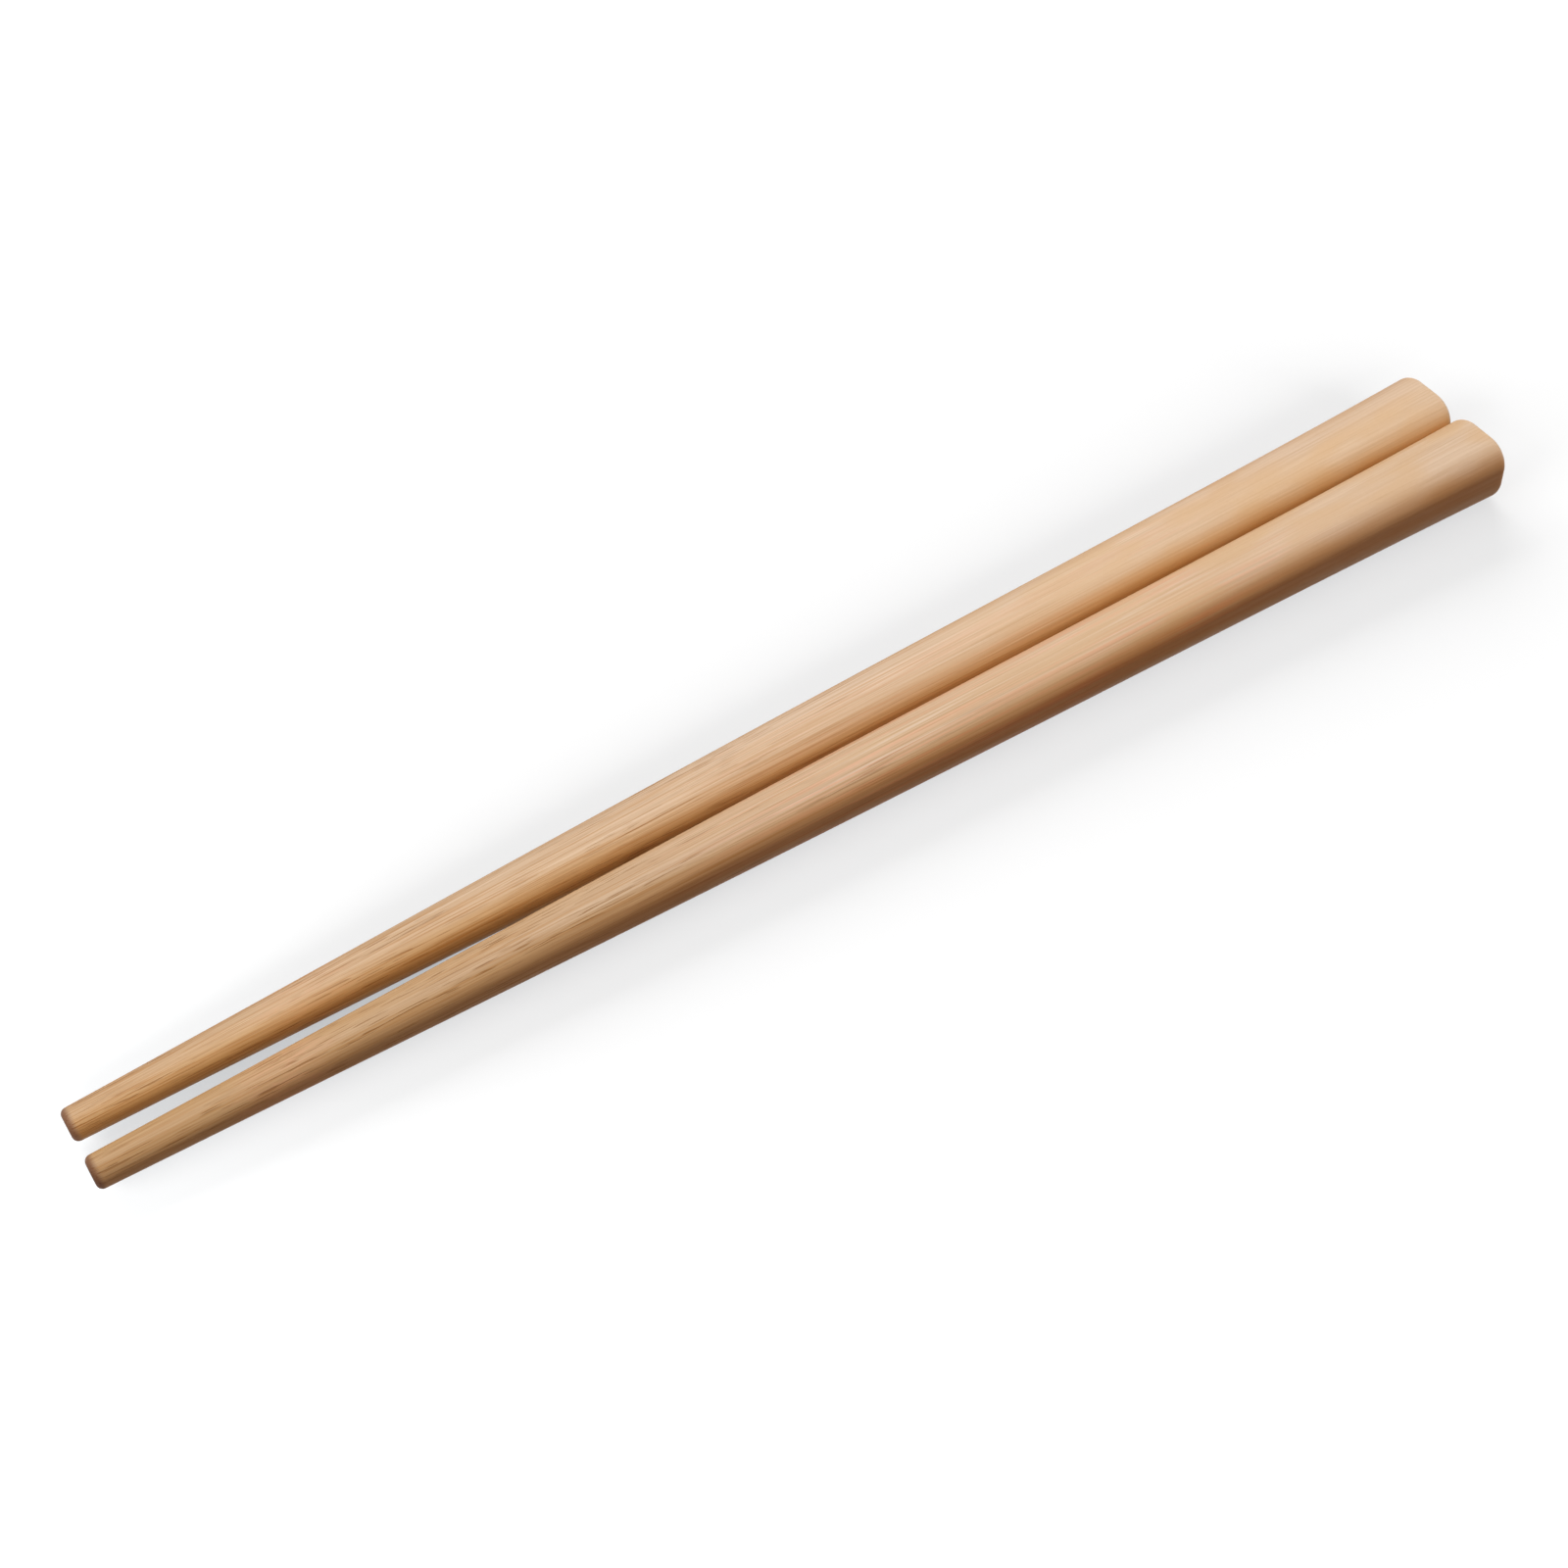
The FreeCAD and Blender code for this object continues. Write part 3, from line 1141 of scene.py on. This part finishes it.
def make_floor(context, stage):
    """Lay a plain floor that looks white and still takes the soft shadow."""
    bm = bmesh.new()
    bmesh.ops.create_grid(bm, x_segments=1, y_segments=1, size=stage.floor_side / 2)
    just_under = Matrix.Translation((0.0, 0.0, -FLOOR_DROP))
    bmesh.ops.transform(bm, matrix=just_under, verts=bm.verts[:])
    mesh = bpy.data.meshes.new("floor")
    bm.to_mesh(mesh)
    bm.free()
    floor = bpy.data.objects.new("floor", mesh)
    context.scene.collection.objects.link(floor)
    material = bpy.data.materials.new("floor_white")
    material.use_nodes = True
    tree = material.node_tree
    shader = tree.nodes["Principled BSDF"]
    grey = stage.floor_grey
    seen = seen_directly(tree)
    feed(tree, shader.inputs["Base Color"], blend_colour(tree, seen, stage.bounce, (grey, grey, grey)))
    feed(tree, shader.inputs["Roughness"], 1.0)
    feed(tree, shader.inputs["Specular IOR Level"], 0.0)
    feed(tree, shader.inputs["Emission Color"], (*stage.glow_tint, 1.0))
    coordinates = tree.nodes.new("ShaderNodeTexCoord")
    distance = tree.nodes.new("ShaderNodeVectorMath")
    distance.operation = "LENGTH"
    # The glow rises from the pool's distance on: an evenly white floor far off, and painted light round the
    # tips that lightens their shadow.
    offset = calculate_vector(tree, "SUBTRACT", coordinates.outputs["Object"], stage.pool_middle)
    feed(tree, distance.inputs[0], offset)
    white_from = WHITE_FROM * stage.pool
    glow = fade(tree, distance.outputs["Value"], stage.pool, white_from, stage.floor_glow, 1.0)
    feed(tree, shader.inputs["Emission Strength"], calculate(tree, "MULTIPLY", seen, glow))
    mesh.materials.append(material)
    return floor


def make_sky(context, stage):
    """Light evenly from all round, and look white to the camera."""
    world = bpy.data.worlds.new("studio_sky")
    world.use_nodes = True
    tree = world.node_tree
    background = tree.nodes["Background"]
    colour = blend_colour(tree, seen_directly(tree), stage.sky, WHITE)
    feed(tree, background.inputs["Color"], colour)
    context.scene.world = world


def make_lamp(context, name, watts, tint, lit):
    """Hang a soft lamp that only some things take light from, aimed at the middle of the pair."""
    width, height, place = LAMPS[name]
    lamp = bpy.data.lights.new(name, "AREA")
    lamp.shape = "RECTANGLE"
    lamp.size = width
    lamp.size_y = height
    lamp.energy = watts
    lamp.color = tint
    holder = bpy.data.objects.new(name, lamp)
    holder.location = place
    holder.rotation_euler = (-Vector(place)).to_track_quat("-Z", "Y").to_euler()
    holder.visible_camera = False
    receivers = bpy.data.collections.new(f"lit_by_{name}")
    for item in lit:
        receivers.objects.link(item)
    holder.light_linking.receiver_collection = receivers
    context.scene.collection.objects.link(holder)
    return holder


def make_camera(context, stage):
    """Stand the camera where the picture was taken from."""
    camera = bpy.data.cameras.new("camera")
    camera.lens = stage.lens
    camera.sensor_width = SENSOR_WIDTH
    camera.clip_start = NEAREST_SEEN
    holder = bpy.data.objects.new("camera", camera)
    place = Vector(stage.camera_place)
    sight = (Vector(stage.camera_aim) - place).to_track_quat("-Z", "Y")
    roll = Quaternion((0.0, 0.0, 1.0), stage.camera_roll)
    holder.location = place
    holder.rotation_euler = (sight @ roll).to_euler()
    context.scene.collection.objects.link(holder)
    context.scene.camera = holder


class SetStage(bpy.types.Operator):
    """Set the white floor, the soft light and the camera"""

    bl_idname = "chopsticks.set_stage"
    bl_label = "Set Stage"

    def execute(self, context):
        stage = context.scene.stage_setup
        floor = [make_floor(context, stage)]
        sticks = [bpy.data.objects[name] for name, _, _, _ in STICKS]
        far_stick = sticks[1]
        make_sky(context, stage)
        make_lamp(context, "key_lamp", stage.key_watts, stage.key_tint, sticks)
        make_lamp(context, "end_lamp", stage.end_watts, WHITE, sticks)
        make_lamp(context, "back_lamp", stage.back_watts, WHITE, floor)
        make_lamp(context, "front_lamp", stage.front_watts, WHITE, floor)
        make_lamp(context, "tip_lamp", stage.tip_watts, WHITE, floor)
        fill_lamp = make_lamp(context, "fill_lamp", stage.fill_watts, stage.fill_tint, [far_stick])
        blockers = bpy.data.collections.new("shades_fill_lamp")
        blockers.objects.link(far_stick)
        fill_lamp.light_linking.blocker_collection = blockers
        make_camera(context, stage)
        context.scene.view_settings.view_transform = "Standard"
        return {"FINISHED"}


class ChopsticksPanel(bpy.types.Panel):
    """Lists the steps and the values that they use"""

    bl_idname = "VIEW3D_PT_chopsticks"
    bl_label = "Chopsticks"
    bl_space_type = "VIEW_3D"
    bl_region_type = "UI"
    bl_category = "Chopsticks"

    def draw(self, context):
        scene = context.scene
        steps = [
            (scene.stick_sizes, MakeSticks.bl_idname),
            (scene.wood_looks, FinishWood.bl_idname),
            (scene.stage_setup, SetStage.bl_idname),
        ]
        for values, step in steps:
            box = self.layout.box()
            for label in values.bl_rna.properties.keys():
                if label not in ("rna_type", "name"):
                    box.prop(values, label)
            box.operator(step)


CLASSES = (StickSizes, WoodLooks, StageSetup, MakeSticks, FinishWood, SetStage, ChopsticksPanel)


def register():
    for item in CLASSES:
        bpy.utils.register_class(item)
    bpy.types.Scene.stick_sizes = PointerProperty(type=StickSizes)
    bpy.types.Scene.wood_looks = PointerProperty(type=WoodLooks)
    bpy.types.Scene.stage_setup = PointerProperty(type=StageSetup)


def unregister():
    del bpy.types.Scene.stage_setup
    del bpy.types.Scene.wood_looks
    del bpy.types.Scene.stick_sizes
    for item in reversed(CLASSES):
        bpy.utils.unregister_class(item)


def main():
    """Make everything in order."""
    register()
    bpy.ops.chopsticks.make_sticks()
    bpy.ops.chopsticks.finish_wood()
    bpy.ops.chopsticks.set_stage()


if __name__ == "__main__":
    main()
